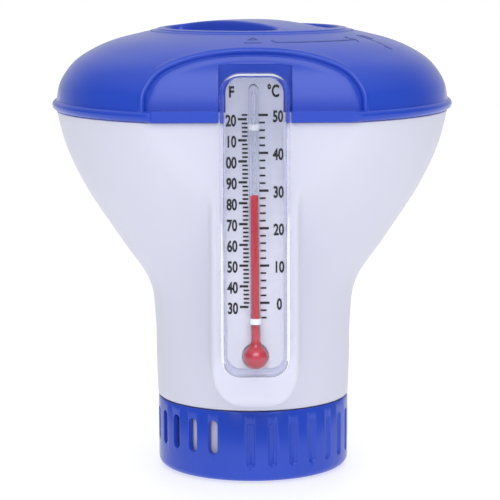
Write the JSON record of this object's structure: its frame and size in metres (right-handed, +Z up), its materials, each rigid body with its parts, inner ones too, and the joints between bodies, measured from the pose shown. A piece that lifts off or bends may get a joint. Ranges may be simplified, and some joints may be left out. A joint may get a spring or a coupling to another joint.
{
  "type": "floating pool thermometer",
  "caption": "Mushroom-shaped pool float with a tablet chamber, a twist-off lid, a turning slotted flow cup and a spirit thermometer on its front.",
  "frame": {"origin": "centre of the flat underside of the flow cup", "axes": "+Z up along the axis of the tablet tube, -Y towards the thermometer, +X to its reader's right"},
  "size_m": [0.1062, 0.1054, 0.12],
  "materials": {
    "blue_plastic": "gloss injection moulding",
    "white_plastic": "satin injection moulding",
    "seal_rubber": "moulded seal",
    "clear_plastic": "clear moulded plastic",
    "printed_card": "printed satin card",
    "glass": "clear drawn glass",
    "red_spirit": "dyed liquid",
    "clip_plastic": "satin"
  },
  "bodies": {
    "root": {"dome_cover": "blue_plastic", "lid_collar": "blue_plastic", "dome_seal": "seal_rubber", "float_body": "white_plastic", "tablet_tube": "white_plastic", "tube_seal_upper": "seal_rubber", "tube_seal_lower": "seal_rubber", "thermometer_cover": "clear_plastic", "backing_plate": "white_plastic", "scale_card": "printed_card", "glass_tube": "glass", "spirit_column": "red_spirit", "tube_clip_lower": "clip_plastic", "tube_clip_upper": "clip_plastic"},
    "lid_carrier": {"lid_gasket": "seal_rubber"},
    "lid": {"lid": "blue_plastic"},
    "flow_cup": {"flow_cup": "blue_plastic"}
  },
  "joints": [
    {"name": "lid_lift", "type": "slide", "parent": "root", "child": "lid_carrier", "axis": [0, 0, 1], "range_m": [0, 0.007]},
    {"name": "lid_twist", "type": "hinge", "parent": "lid_carrier", "child": "lid", "pos_m": [0, 0, 0.1152], "axis": [0, 0, 1], "range_deg": [0, 60]},
    {"name": "flow_cup_turn", "type": "hinge", "parent": "root", "child": "flow_cup", "pos_m": [0, 0, 0.0178], "axis": [0, 0, 1], "range_deg": [-28, 56]}
  ],
  "couplings": [
    {"joint": "lid_lift", "follows": "lid_twist", "m_per_rad": 0.006684}
  ]
}
